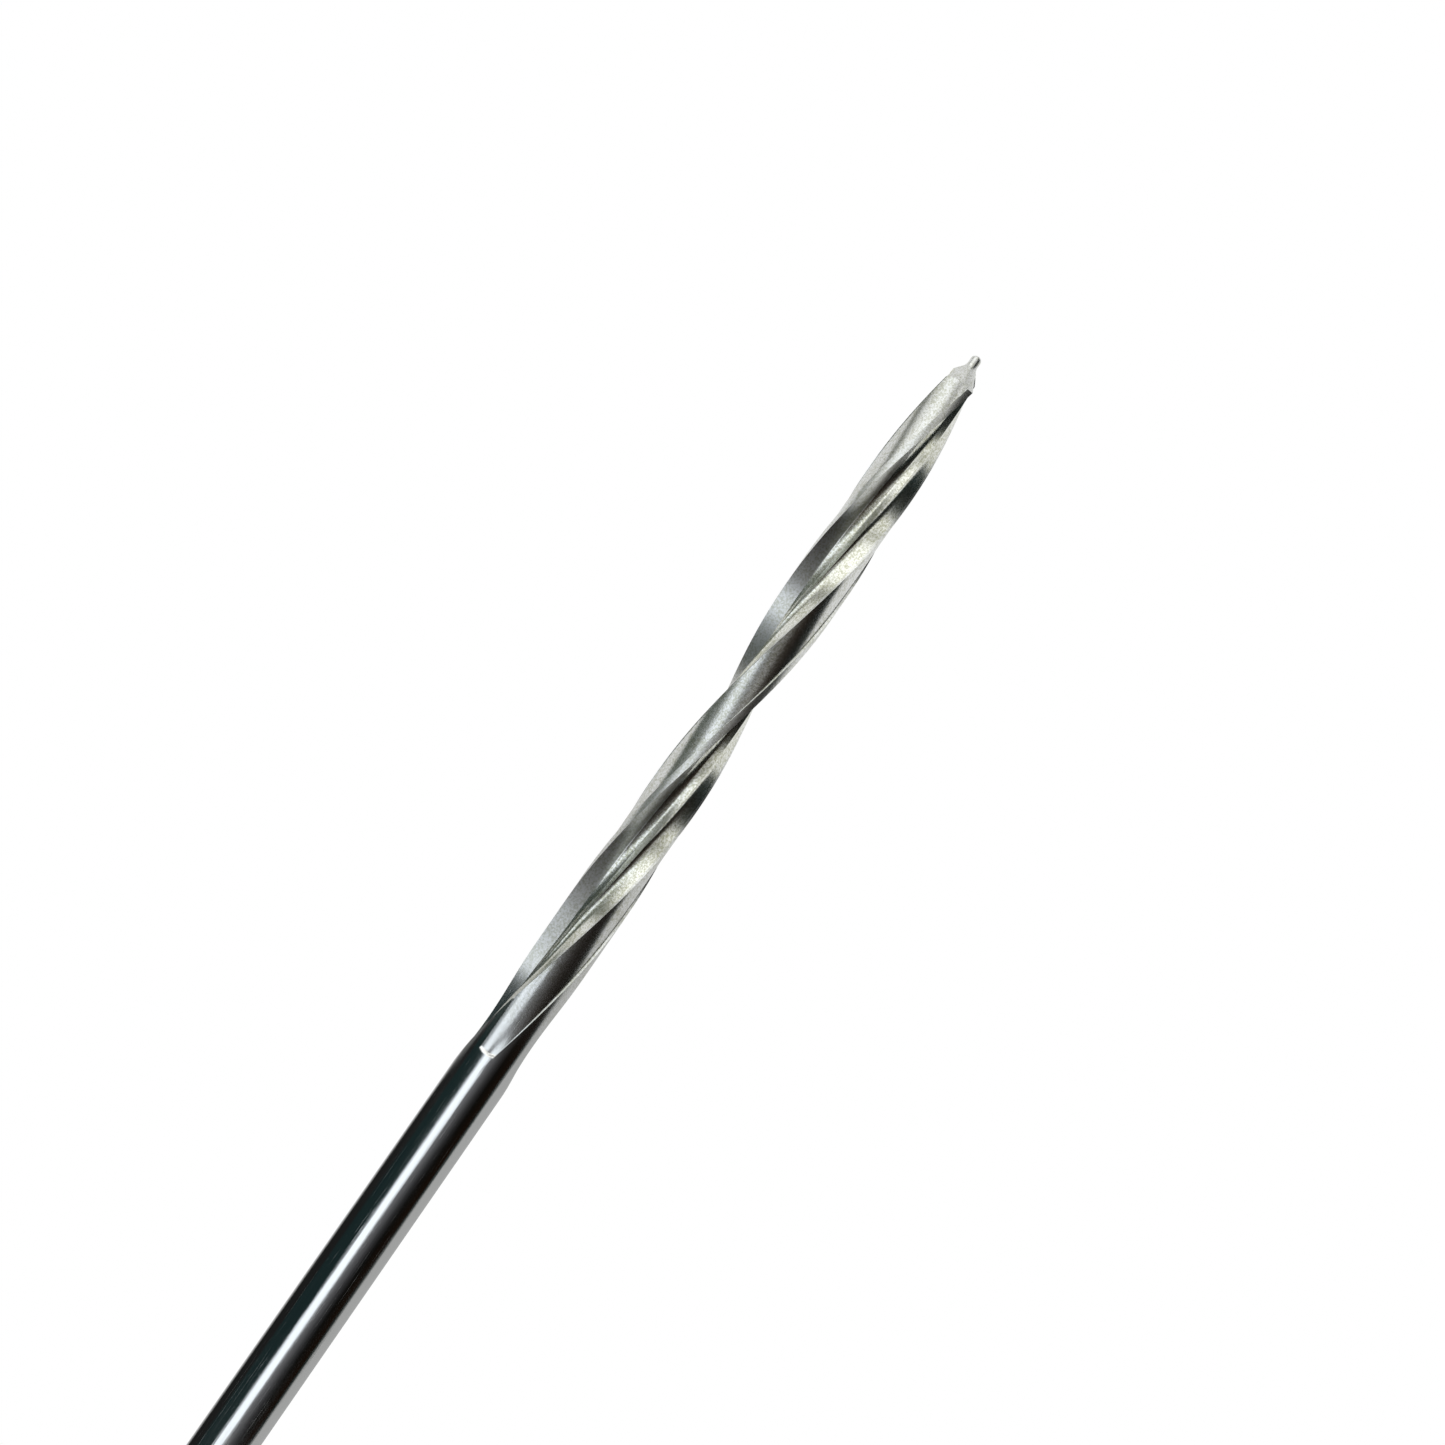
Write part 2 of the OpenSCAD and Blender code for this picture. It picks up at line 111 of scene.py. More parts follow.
# %% Sizes of the shank
SHANK_R = 5 * MM
REACH = 235 * MM
NIB_R = 1.0 * MM
NIB_LEN = 2.45 * MM
HELIX_PITCH = 133 * MM
CONE_SLOPE = math.tan(math.radians(39))
FILLET_R = 1.45 * MM
CORNER_X = REACH - NIB_LEN - (SHANK_R - NIB_R) / CONE_SLOPE
FLUTE_X = REACH - 151.2 * MM
RECESS_X = FLUTE_X + 4.2 * MM
RECESS_RAMP = 0.7 * MM
RUNOUT = 38 * MM
FACE_X = 159.8 * MM
FLANK_RELIEF = 0.5 * MM
TURN_RATE = 360 / HELIX_PITCH
print("flutes start", round(FLUTE_X / MM, 1), "mm and the cone", round(CORNER_X / MM, 1), "mm from the hanger")

# %% [markdown]
# The section is drawn in angles round the rod. One half is a stretch of uncut land, the floor
# of the ground clearance, the raised margin, and the flute with its hollow lip face and its
# flatter heel face. The other half is the same, turned by 180 degrees.

# %% The section and its moving edges
MARGIN_START, LIP_EDGE, CREASE, HEEL_EDGE = 16, 31, 100, 144
RECESS_TOP = -18.5
WALL = 0.45
CREASE_R, HEEL_R, FLUTE_SAG = 0.44, 0.945, 0.25
CLEARANCE = 0.065
HONED_WIDTH, HONED_DEPTH = 1.1, 0.010
FILLET_ANGLE, FILLET_RISE = 26, 0.085
FACET_WIDTH = 18


def smooth(t):
    u = np.clip(t, 0, 1)
    return u * u * (3 - 2 * u)


def polar(r, degrees):
    a = np.radians(degrees)
    return np.array([r * np.cos(a), r * np.sin(a)])


LIP_POINT = polar(1, LIP_EDGE)
CREASE_POINT = polar(CREASE_R, CREASE)
HEEL_POINT = polar(HEEL_R, HEEL_EDGE)
CHORD = CREASE_POINT - LIP_POINT
CHORD_LEN = np.hypot(*CHORD)
ARC_R = CHORD_LEN**2 / (8 * FLUTE_SAG) + FLUTE_SAG / 2
ARC_CENTRE = (LIP_POINT + CREASE_POINT) / 2
ARC_CENTRE = ARC_CENTRE + (ARC_R - FLUTE_SAG) * np.array([CHORD[1], -CHORD[0]]) / CHORD_LEN


def flute_shape(v):
    """Radius of the finished flute at share v of its width, as a share of the shank's."""
    a = LIP_EDGE + v * (HEEL_EDGE - LIP_EDGE)
    e = polar(1, a)
    along = ARC_CENTRE @ e
    lip_face = along - np.sqrt(np.maximum(0, ARC_R**2 - ARC_CENTRE @ ARC_CENTRE + along**2))
    side = HEEL_POINT - CREASE_POINT
    cross = CREASE_POINT[0] * side[1] - CREASE_POINT[1] * side[0]
    heel_face = cross / (e[0] * side[1] - e[1] * side[0])
    near = np.clip(1 - abs(a - CREASE) / FILLET_ANGLE, 0, 1)
    return np.where(a < CREASE, lip_face, heel_face) + FILLET_RISE * near**2


def lip_angle(x):
    d = np.maximum(0, x - FLUTE_X) / MM
    opened = 1 - (1 - np.minimum(1, d / 24)) ** 3
    return LIP_EDGE + 76 * (1 - 0.72 * opened - 0.28 * smooth((d - 20) / 14))


def heel_angle(x):
    return HEEL_EDGE - 25 / (1 + np.maximum(0, x - FLUTE_X) / (12 * MM))


def flute_depth(x):
    t = np.clip((x - FLUTE_X) / RUNOUT, 0, 1)
    return 1 - (1 - t) ** 2


def recess_angle(x):
    ground = RECESS_TOP - TURN_RATE * (x - RECESS_X)
    return np.maximum(heel_angle(x) - 180 + WALL, ground)


# %% [markdown]
# A column belongs to one zone of the section and sits at a fixed share across it. These two
# functions say at what angle and at what radius each column runs for a place along the axis.

# %% Columns round the section
LAND, FLOOR, MARGIN, FLUTE = range(4)
CREASE_V = (CREASE - LIP_EDGE) / (HEEL_EDGE - LIP_EDGE)


def half_columns():
    """[zone, share across the zone] for each column of half a section."""
    columns = [(LAND, i / 11) for i in range(12)]
    columns += [(FLOOR, i / 19) for i in range(20)]
    columns += [(MARGIN, i / 14) for i in range(14)]
    columns += [(FLUTE, CREASE_V * i / 30) for i in range(30)]
    columns += [(FLUTE, CREASE_V + (1 - CREASE_V) * i / 18) for i in range(18)]
    return np.array(columns)


FACET_SHARE = 7 / 19
HALF = half_columns()
ZONE, SHARE = HALF[:, 0], HALF[:, 1]


def column_angle(x):
    x = max(x, FLUTE_X - 0.5 * MM)
    heel, top, lip = heel_angle(x), recess_angle(x), lip_angle(x)
    land = heel - 180 + SHARE * (top - heel + 180 - WALL / 2)
    ridge = facet_edge(x)
    first = top + SHARE / FACET_SHARE * (ridge - top)
    rest = ridge + (SHARE - FACET_SHARE) / (1 - FACET_SHARE) * (MARGIN_START - WALL - ridge)
    floor = np.where(SHARE < FACET_SHARE, first, rest)
    margin = np.where(SHARE > 0.92, lip - HONED_WIDTH, MARGIN_START + SHARE * (lip - MARGIN_START))
    flute = lip + SHARE * (heel - lip)
    return np.select([ZONE == LAND, ZONE == FLOOR, ZONE == MARGIN], [land, floor, margin], flute)


def facet_edge(x):
    """The ridge between the wheel's entry facet and the rest of the clearance floor."""
    ground = RECESS_TOP + FACET_WIDTH - TURN_RATE * (x - RECESS_X)
    return max(recess_angle(x), ground)


def column_radius(x):
    width = recess_angle(x) - (heel_angle(x) - 180) - WALL
    bulge = RECESS_X - 0.25 * MM * np.sin(np.pi * SHARE)
    wide = (facet_edge(x) - recess_angle(x)) / FACET_WIDTH
    entry = 0.25 + 0.9 * SHARE / FACET_SHARE
    rest = 1.15 + 0.35 * np.sin(np.pi * (SHARE - FACET_SHARE) / (1 - FACET_SHARE))
    shape = np.where(SHARE < FACET_SHARE, 1.15 + wide * (entry - 1.15), rest)
    recess = CLEARANCE * smooth((x - bulge) / RECESS_RAMP) * shape
    land = 1 - (1 - HEEL_R) * (1 - smooth(width / 1.5))
    honed = HONED_DEPTH * (SHARE == 0) * min(1, 4 * flute_depth(x))
    flute = 1 - flute_depth(x) * (1 - flute_shape(SHARE)) - honed
    return SHANK_R * np.select(
        [ZONE == LAND, ZONE == FLOOR, ZONE == MARGIN], [land + 0 * SHARE, 1 - recess, 1 + 0 * SHARE], flute
    )


def flank_share():
    """How far each column lies behind the lip on the point's flank, from 0 to 1."""
    return np.select(
        [ZONE == LAND, ZONE == FLOOR, ZONE == MARGIN],
        [1 + 0 * SHARE, 1 - 0.75 * SHARE, 0.25 * (1 - SHARE)],
        smooth((SHARE - 0.45) / 0.4),
    )


def cone_x(r):
    """Where the point's cone lies for radius r, with each flank falling back behind its lip."""
    drop = FLANK_RELIEF * flank_share() * (r - NIB_R) / (SHANK_R - NIB_R)
    return CORNER_X + (SHANK_R - r) / CONE_SLOPE - drop


def ring(x, r):
    """Both halves of one ring, from an axial place and a radius for each column of a half."""
    x = x + 0 * SHARE
    angle = column_angle(float(x[0])) + TURN_RATE * (np.maximum(x, FLUTE_X - 0.5 * MM) - FACE_X)
    turned = np.radians(np.concatenate([angle, angle + 180]))
    x, r = np.tile(x, 2), np.tile(r + 0 * SHARE, 2)
    return np.stack([x, -r * np.sin(turned), r * np.cos(turned)], axis=1)


# %% Rings from the hanger to the tip of the nib
def shank_rings():
    places = [0, 0.3 * MM, 1 * MM, 20 * MM, 40 * MM, 60 * MM, FLUTE_X - 0.5 * MM]
    places += list(np.linspace(FLUTE_X, RECESS_X - 0.3 * MM, 24))
    places += list(np.linspace(RECESS_X - 0.25 * MM, RECESS_X + RECESS_RAMP, 12))
    places += list(np.linspace(RECESS_X + RECESS_RAMP + 0.3 * MM, CORNER_X - 1.0 * MM, 330))
    rings = [ring(x, column_radius(x)) for x in places]
    edge_r = column_radius(CORNER_X)
    edge_x = cone_x(edge_r)
    rings.append(ring(edge_x, edge_r))
    for t in np.linspace(0, 1, 10)[1:]:
        r = edge_r + (FILLET_R - edge_r) * t
        on_cone = ring(edge_x, r)
        on_cone[:, 0] = np.tile(cone_x(r), 2)
        rings.append(on_cone)
    for x, r in nib_profile():
        on_nib = ring(edge_x, r)
        on_nib[:, 0] = x
        rings.append(on_nib)
    return np.array(rings)


def nib_profile():
    """(x, r) pairs along the nib: a hollow fillet off the cone, a round body and a domed end."""
    dome = 0.85 * MM
    start = REACH - NIB_LEN
    fillet = [(start - (FILLET_R - NIB_R) / CONE_SLOPE, FILLET_R), (start, NIB_R), (start + 0.6 * MM, 0.97 * NIB_R)]
    for t in np.linspace(0, 1, 9)[1:]:
        shares = ((1 - t) ** 2, 2 * t * (1 - t), t**2)
        yield tuple(sum(share * point[i] for share, point in zip(shares, fillet)) for i in range(2))
    for a in np.linspace(0, 90, 10):
        yield REACH - dome * (1 - math.sin(math.radians(a))), 0.97 * NIB_R * math.cos(math.radians(a))


def roll_grid(name, rings, marks=None):
    """Adds a flat grid, rolls each of its lines into one ring, and closes the seam and the ends."""
    count, columns = rings.shape[:2]
    bpy.ops.object.select_all(action="DESELECT")
    bpy.ops.mesh.primitive_grid_add(x_subdivisions=count - 1, y_subdivisions=columns, size=2)
    piece = named(name)
    co = np.empty(len(piece.data.vertices) * 3)
    piece.data.vertices.foreach_get("co", co)
    flat = co.reshape(-1, 3)
    i = np.rint((flat[:, 0] + 1) / 2 * (count - 1)).astype(int)
    j = np.rint((flat[:, 1] + 1) / 2 * columns).astype(int) % columns
    piece.data.vertices.foreach_set("co", rings[i, j].astype(float).ravel())
    if marks is not None:
        mark = piece.data.attributes.new("zone", "FLOAT", "POINT")
        mark.data.foreach_set("value", marks[i, j].astype(float))
    piece.data.update()
    edit_all(piece)
    bpy.ops.mesh.remove_doubles(threshold=0.0002 * MM)
    bpy.ops.mesh.fill_holes(sides=0)
    bpy.ops.mesh.select_all(action="SELECT")
    bpy.ops.mesh.normals_make_consistent(inside=False)
    leave_edit()
    return piece


def zone_marks(rings):
    """0 for polished surface, 1 for a ground clearance and 2 for a flute, at each grid point."""
    x = rings[:, :1, 0]
    zone = np.tile(ZONE, 2)
    ground = (zone == FLOOR) & (x > RECESS_X - 0.3 * MM)
    flute = (zone == FLUTE) & (np.tile(SHARE, 2) > 0) & (x > FLUTE_X)
    on_body = x < CORNER_X
    return np.where(flute & on_body, 2, np.where(ground & on_body, 1, 0))


rings = shank_rings()
shank = roll_grid("fluted_shank", rings, zone_marks(rings))
smooth_by_angle(shank, 28)
report(shank)

# %% [markdown]
# ## Camera, floor and light
# Polished steel shows the room more than itself. A round rod under one long strip light shows
# a crisp bright band, the dark room beside it, and the pale floor close to both edges. So the
# light is one long soft box above the rod, the room is dark, and the floor is white to the
# camera. The floor is painted light, though: it glows as a lamp would, and to every ray but the
# camera's its glow is shaped, dimmer toward the hanger and dark off to one side of it, which
# paints the pale floor seen in the steel's reflections.

# %% Camera
LENS = 50
TILT = math.radians(7.0)
ROLL = math.radians(55.25)
TARGET = Vector((156 * MM, 0.33 * MM, 0))
DISTANCE = 343.1 * MM

view = Vector((math.sin(TILT), 0, -math.cos(TILT)))
along = Vector((math.cos(TILT), 0, math.sin(TILT)))
across = Vector((0, 1, 0))
right = math.cos(ROLL) * along - math.sin(ROLL) * across
up = math.sin(ROLL) * along + math.cos(ROLL) * across
camera_data = bpy.data.cameras.new("camera")
camera_data.lens = LENS
camera_data.sensor_width = 36
camera_data.clip_start = 0.01
camera = bpy.data.objects.new("camera", camera_data)
camera.matrix_world = Matrix.Translation(TARGET - view * DISTANCE) @ Matrix(
    (right, up, -view)
).transposed().to_4x4()
bpy.context.scene.collection.objects.link(camera)
bpy.context.scene.camera = camera

# %% [markdown]
# A small helper adds a shader node, sets its sockets and links them in one line, so that each
# material below reads like a recipe.

# %% Node helper
def add(tree, kind, links=None, **values):
    """Adds a node. links maps an input socket to an output socket, values set plain sockets."""
    node = tree.nodes.new("ShaderNode" + kind)
    for name, value in values.items():
        if hasattr(node, name):
            setattr(node, name, value)
        else:
            node.inputs[name.replace("_", " ")].default_value = value
    for name, source in (links or {}).items():
        tree.links.new(source, node.inputs[name])
    return node


def set_ramp(node, stops, interpolation="LINEAR"):
    """Gives a colour ramp its stops, as (place, colour) pairs."""
    ramp = node.color_ramp
    ramp.interpolation = interpolation
    while len(ramp.elements) > 2:
        ramp.elements.remove(ramp.elements[1])
    ramp.elements[0].position, ramp.elements[0].color = stops[0][0], (*stops[0][1], 1)
    ramp.elements[1].position, ramp.elements[1].color = stops[-1][0], (*stops[-1][1], 1)
    for place, colour in stops[1:-1]:
        ramp.elements.new(place).color = (*colour, 1)


# %% World: a dark room with one long bright window
scene = bpy.context.scene
scene.view_settings.view_transform = "Standard"
world = bpy.data.worlds.new("dark_room")
scene.world = world
world.use_nodes = True
tree = world.node_tree
tree.nodes.clear()
direction = add(tree, "SeparateXYZ", {"Vector": add(tree, "TexCoord").outputs["Generated"]})
swing = add(tree, "Math", {0: direction.outputs["Y"], 1: direction.outputs["Z"]}, operation="ARCTAN2")
share = add(tree, "MapRange", {"Value": swing.outputs[0]}, From_Min=-math.pi, From_Max=math.pi)
TEAL, DEEP, BROWN = (0.010, 0.021, 0.022), (0.004, 0.004, 0.0035), (0.009, 0.004, 0.0016)
PALE, WINDOW, DUSK = (0.34, 0.34, 0.32), (1.15, 1.22, 1.30), (0.16, 0.16, 0.17)
MOSS, MIST, GLOW = (0.25, 0.28, 0.24), (0.48, 0.50, 0.50), (1.35, 1.35, 1.32)


def around(*stops):
    """A colour ramp round the rod. Each stop is an angle off straight up toward +Y, and a colour."""
    ramp = add(tree, "ValToRGB", {"Fac": share.outputs[0]})
    set_ramp(ramp, [(0.5 + degrees / 360, colour) for degrees, colour in stops])
    return ramp.outputs["Color"]


toward_hanger = around(
    (-180, PALE), (-98, PALE), (-84, TEAL), (-78, BROWN), (-45, DEEP), (-28, (0.03, 0.03, 0.032)),
    (2, DUSK), (7, WINDOW), (29, WINDOW), (36, TEAL), (98, TEAL), (125, MOSS), (180, PALE),
)
straight_on = around(
    (-180, PALE), (-150, (0.44, 0.46, 0.44)), (-130, (0.10, 0.12, 0.10)), (-104, TEAL), (-56, BROWN),
    (-34, (0.035, 0.020, 0.011)), (-8, (0.06, 0.05, 0.04)), (10, (0.12, 0.13, 0.14)), (22, WINDOW), (40, WINDOW),
    (52, (0.12, 0.14, 0.13)), (84, (0.10, 0.12, 0.10)), (124, MOSS), (180, PALE),
)
toward_tip = around(
    (-180, (0.6, 0.6, 0.6)), (-148, (0.45, 0.46, 0.45)), (-134, TEAL), (-70, TEAL),
    (-54, DEEP), (-30, (0.04, 0.05, 0.05)), (-14, GLOW), (0, (0.42, 0.42, 0.40)), (20, GLOW), (64, GLOW),
    (80, (0.20, 0.20, 0.18)), (124, (0.42, 0.43, 0.40)), (180, (0.6, 0.6, 0.6)),
)
lengthwise = add(tree, "MapRange", {"Value": direction.outputs["X"]}, From_Min=-0.06, From_Max=0.10)
to_tip = add(tree, "MapRange", {"Value": direction.outputs["X"]}, From_Min=0.18, From_Max=0.32)
near = add(tree, "Mix", {0: lengthwise.outputs[0], 6: toward_hanger, 7: straight_on}, data_type="RGBA")
walls = add(tree, "Mix", {0: to_tip.outputs[0], 6: near.outputs[2], 7: toward_tip}, data_type="RGBA")
behind = add(tree, "MapRange", {"Value": direction.outputs["X"]}, From_Min=-0.32, From_Max=-0.6)
room_colour = add(tree, "Mix", {0: behind.outputs[0], 6: walls.outputs[2]}, data_type="RGBA")
room_colour.inputs[7].default_value = (0.62, 0.63, 0.64, 1)
room = add(tree, "Background", {"Color": room_colour.outputs[2]}, Strength=1.0)
sky = add(tree, "Background", Color=(1, 1, 1, 1), Strength=1.0)
seen = add(tree, "LightPath").outputs["Is Camera Ray"]
mix = add(tree, "MixShader", {"Fac": seen, 1: room.outputs[0], 2: sky.outputs[0]})
add(tree, "OutputWorld", {"Surface": mix.outputs[0]})

# %% Floor
# Painted light: the floor glows instead of being lit. The camera sees it pure white, and every other ray sees a painted
# glow, brighter toward the tip and dark on the +Y side near the hanger, that stands in for light off the floor.
bpy.ops.object.select_all(action="DESELECT")
bpy.ops.mesh.primitive_plane_add(size=12, location=(0, 0, -60 * MM))
floor = named("floor")
floor_glow = bpy.data.materials.new("floor_glow")
floor_glow.use_nodes = True
tree = floor_glow.node_tree
tree.nodes.clear()
place = add(tree, "SeparateXYZ", {"Vector": add(tree, "NewGeometry").outputs["Position"]})
to_tip = add(tree, "MapRange", {"Value": place.outputs["X"]}, From_Min=0.08, From_Max=0.16, To_Min=0.42, To_Max=0.85)
plain = add(tree, "MapRange", {"Value": place.outputs["X"]}, From_Min=0.07, From_Max=0.10, To_Min=0.03, To_Max=1.0)
to_side = add(tree, "MapRange", {"Value": place.outputs["Y"], "To Max": plain.outputs[0]},
              From_Min=0.040, From_Max=0.055, To_Min=1.0)
# lit is the painted glow that reflections and bounced light see; camera rays get plain white.
lit = add(tree, "Math", {0: to_tip.outputs[0], 1: to_side.outputs[0]}, operation="MULTIPLY")
seen = add(tree, "LightPath").outputs["Is Camera Ray"]
bright = add(tree, "Mix", {0: seen, 2: lit.outputs[0]}, data_type="FLOAT")
bright.inputs[3].default_value = 1.0
glow = add(tree, "Emission", {"Strength": bright.outputs[0]}, Color=(1, 1, 1, 1))
add(tree, "OutputMaterial", {"Surface": glow.outputs[0]})
floor.data.materials.append(floor_glow)

# %% [markdown]
# ## Steel
#
# The round rod and the margins are polished along their length, so they carry hair-fine
# scratches that run with the rod. The flutes come straight off a coarse wheel and keep a
# mottled grain, and the clearance floors lie between the two. One node group makes the
# scratches and one makes the grain, and each steel mixes them in its own measure.

# %% Node groups for worked steel
def new_group(name, inputs, outputs):
    """A shader node group with its input and output sockets."""
    group = bpy.data.node_groups.new(name, "ShaderNodeTree")
    for label, kind, value in inputs:
        socket = group.interface.new_socket(name=label, in_out="INPUT", socket_type=kind)
        socket.default_value = value
    for label, kind in outputs:
        group.interface.new_socket(name=label, in_out="OUTPUT", socket_type=kind)
    return group, group.nodes.new("NodeGroupInput"), group.nodes.new("NodeGroupOutput")


def make_scratches():
    """Hair scratches along X. Fine puts out a height and Wide puts out slow streaks."""
    group, source, sink = new_group(
        "lengthwise_scratches",
        [("Length", "NodeSocketFloat", 60.0), ("Width", "NodeSocketFloat", 5000.0)],
        [("Fine", "NodeSocketFloat"), ("Wide", "NodeSocketFloat")],
    )
    place = add(group, "TexCoord").outputs["Object"]
    scale = add(group, "CombineXYZ", {0: source.outputs["Length"], 1: source.outputs["Width"],
                                      2: source.outputs["Width"]})
    stretched = add(group, "VectorMath", {0: place, 1: scale.outputs[0]}, operation="MULTIPLY")
    fine = add(group, "TexNoise", {"Vector": stretched.outputs[0]}, Scale=1.0, Detail=5.0, Roughness=0.7)
    slower = add(group, "VectorMath", {0: stretched.outputs[0]}, operation="MULTIPLY")
    slower.inputs[1].default_value = (0.5, 0.12, 0.12)
    wide = add(group, "TexNoise", {"Vector": slower.outputs[0]}, Scale=1.0, Detail=3.0, Roughness=0.6)
    group.links.new(fine.outputs[0], sink.inputs["Fine"])
    group.links.new(wide.outputs[0], sink.inputs["Wide"])
    return group


def make_grain():
    """Mottled wheel grain. Speck puts out fine height and Cloud puts out broad mottling."""
    group, source, sink = new_group(
        "wheel_grain",
        [("Speck Size", "NodeSocketFloat", 2600.0), ("Cloud Size", "NodeSocketFloat", 260.0)],
        [("Speck", "NodeSocketFloat"), ("Cloud", "NodeSocketFloat")],
    )
    place = add(group, "TexCoord").outputs["Object"]
    speck = add(group, "TexNoise", {"Vector": place, "Scale": source.outputs["Speck Size"]},
                Detail=4.0, Roughness=0.65)
    cloud = add(group, "TexNoise", {"Vector": place, "Scale": source.outputs["Cloud Size"]},
                Detail=5.0, Roughness=0.6)
    group.links.new(speck.outputs[0], sink.inputs["Speck"])
    group.links.new(cloud.outputs[0], sink.inputs["Cloud"])
    return group


SCRATCHES = make_scratches()
GRAIN = make_grain()


def use(tree, group, **values):
    node = tree.nodes.new("ShaderNodeGroup")
    node.node_tree = group
    for name, value in values.items():
        node.inputs[name.replace("_", " ")].default_value = value
    return node


# %% The three steels of the shank
def steel(name, colour, scratch, grain, rough, bump, tint, far):
    """A metal whose roughness and height come from scratches and grain in given shares."""
    material = bpy.data.materials.new(name)
    material.use_nodes = True
    tree = material.node_tree
    skin = tree.nodes["Principled BSDF"]
    skin.inputs["Metallic"].default_value = 1
    lines = use(tree, SCRATCHES)
    wheel = use(tree, GRAIN)
    low, high = rough
    blend = add(tree, "Mix", {2: lines.outputs["Wide"], 3: wheel.outputs["Cloud"]}, data_type="FLOAT")
    blend.inputs[0].default_value = grain / (grain + scratch)
    hair = add(tree, "MapRange", {"Value": lines.outputs["Fine"]}, From_Min=0.60, From_Max=0.68, To_Max=0.22 * scratch)
    matt = add(tree, "MapRange", {"Value": blend.outputs[0]}, From_Min=0.3, From_Max=0.7, To_Min=low, To_Max=high)
    place = add(tree, "SeparateXYZ", {"Vector": add(tree, "TexCoord").outputs["Object"]})
    toward = add(tree, "MapRange", {"Value": place.outputs["X"]}, From_Min=FLUTE_X + 4 * MM, From_Max=FLUTE_X + 24 * MM)
    lined = add(tree, "Math", {0: matt.outputs[0], 1: hair.outputs[0]}, operation="ADD")
    used = add(tree, "Mix", {0: toward.outputs[0], 2: lined.outputs[0]}, data_type="FLOAT")
    used.inputs[3].default_value = far
    tree.links.new(used.outputs[0], skin.inputs["Roughness"])
    mottle = add(tree, "Mix", {2: wheel.outputs["Cloud"], 3: wheel.outputs["Speck"]}, data_type="FLOAT")
    mottle.inputs[0].default_value = 0.75
    shade = add(tree, "ValToRGB", {"Fac": mottle.outputs[0]})
    dull = tuple(c * (1 - tint * share) for c, share in zip(colour, (0.95, 0.95, 1.2)))
    set_ramp(shade, [(0.42, dull), (0.56, colour)])
    tone = add(tree, "Mix", {0: toward.outputs[0], 7: shade.outputs["Color"]}, data_type="RGBA")
    tone.inputs[6].default_value = (*colour, 1)
    tree.links.new(tone.outputs[2], skin.inputs["Base Color"])
    coarse = add(tree, "MapRange", {"Value": toward.outputs[0]}, To_Min=grain / (grain + scratch), To_Max=0.8)
    height = add(tree, "Mix", {0: coarse.outputs[0], 2: lines.outputs["Fine"], 3: wheel.outputs["Speck"]},
                 data_type="FLOAT")
    relief = add(tree, "Bump", {"Height": height.outputs[0]}, Strength=bump, Distance=0.00002)
    tree.links.new(relief.outputs[0], skin.inputs["Normal"])
    return material


MIRROR = steel("mirror_steel", (0.82, 0.83, 0.82), 1.0, 0.02, (0.06, 0.16), 0.6, 0.30, 0.34)
LANDED = steel("ground_land_steel", (0.78, 0.79, 0.78), 0.6, 0.8, (0.15, 0.26), 0.9, 0.34, 0.24)
FLUTED = steel("wheel_cut_steel", (0.86, 0.87, 0.82), 0.3, 1.0, (0.16, 0.28), 1.0, 0.40, 0.24)


def paint_shank(piece):
    """Gives margins, clearance floors and flutes their own steel, by how each column was ground."""
    piece.data.materials.clear()
    for material in (MIRROR, LANDED, FLUTED):
        piece.data.materials.append(material)
    zone = piece.data.attributes["zone"].data
    for face in piece.data.polygons:
        marks = [zone[v].value for v in face.vertices]
        face.material_index = 2 if min(marks) > 1.5 else 1 if min(marks) > 0.5 else 0


paint_shank(shank)
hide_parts("screw_shank")
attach(shank, "screw")

# %% [markdown]
# ## The square and the stud behind the hanger
#
# Behind the plate the rod steps down to a square, which keeps the hanger from turning on it,
# and then to a rolled M8 stud. A thread could be a spun profile with the Screw modifier, but
# that leaves open ends. The same rolled grid as the shank gives a closed stud: the radius
# rises and falls once for each pitch, and the crest creeps forward as it goes round.

# %% Rolled stud and square
STUD_END = -15.1 * MM
STUD_R = 4 * MM
THREAD_PITCH = 1.25 * MM
THREAD_DEPTH = 0.62 * MM
SQUARE = 7 * MM


def thread_radius(x, turn):
    """Radius of the rolled thread at place x and at a share of a turn round the stud."""
    phase = (x / THREAD_PITCH - turn) % 1
    flank = np.clip(abs(phase - 0.5) * 2.6 - 0.25, 0, 1)
    chamfer = STUD_R - np.clip(STUD_END + 0.8 * MM - x, 0, None) * 0.9
    return np.minimum(STUD_R - THREAD_DEPTH * flank, chamfer)


turns = np.arange(96) / 96
stud_rings = []
for x in np.linspace(STUD_END, -3.2 * MM, 130):
    r = thread_radius(x, turns)
    stud_rings.append(np.stack([x + 0 * turns, r * np.cos(turns * 2 * np.pi), r * np.sin(turns * 2 * np.pi)], axis=1))
stud = roll_grid("rolled_stud", np.array(stud_rings))
report(stud)

bpy.ops.object.select_all(action="DESELECT")
bpy.ops.mesh.primitive_cube_add(size=1, location=(-1.5 * MM, 0, 0), scale=(3.4 * MM, SQUARE, SQUARE))
square = named("square_seat")
apply_all(square)
edit_all(square)
bpy.ops.mesh.bevel(offset=0.25 * MM, segments=3, affect="EDGES")
leave_edit()
report(square)
for piece in (stud, square):
    smooth_by_angle(piece, 32)
    piece.data.materials.clear()
    piece.data.materials.append(MIRROR)
    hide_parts("screw_shank")
    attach(piece, "screw")
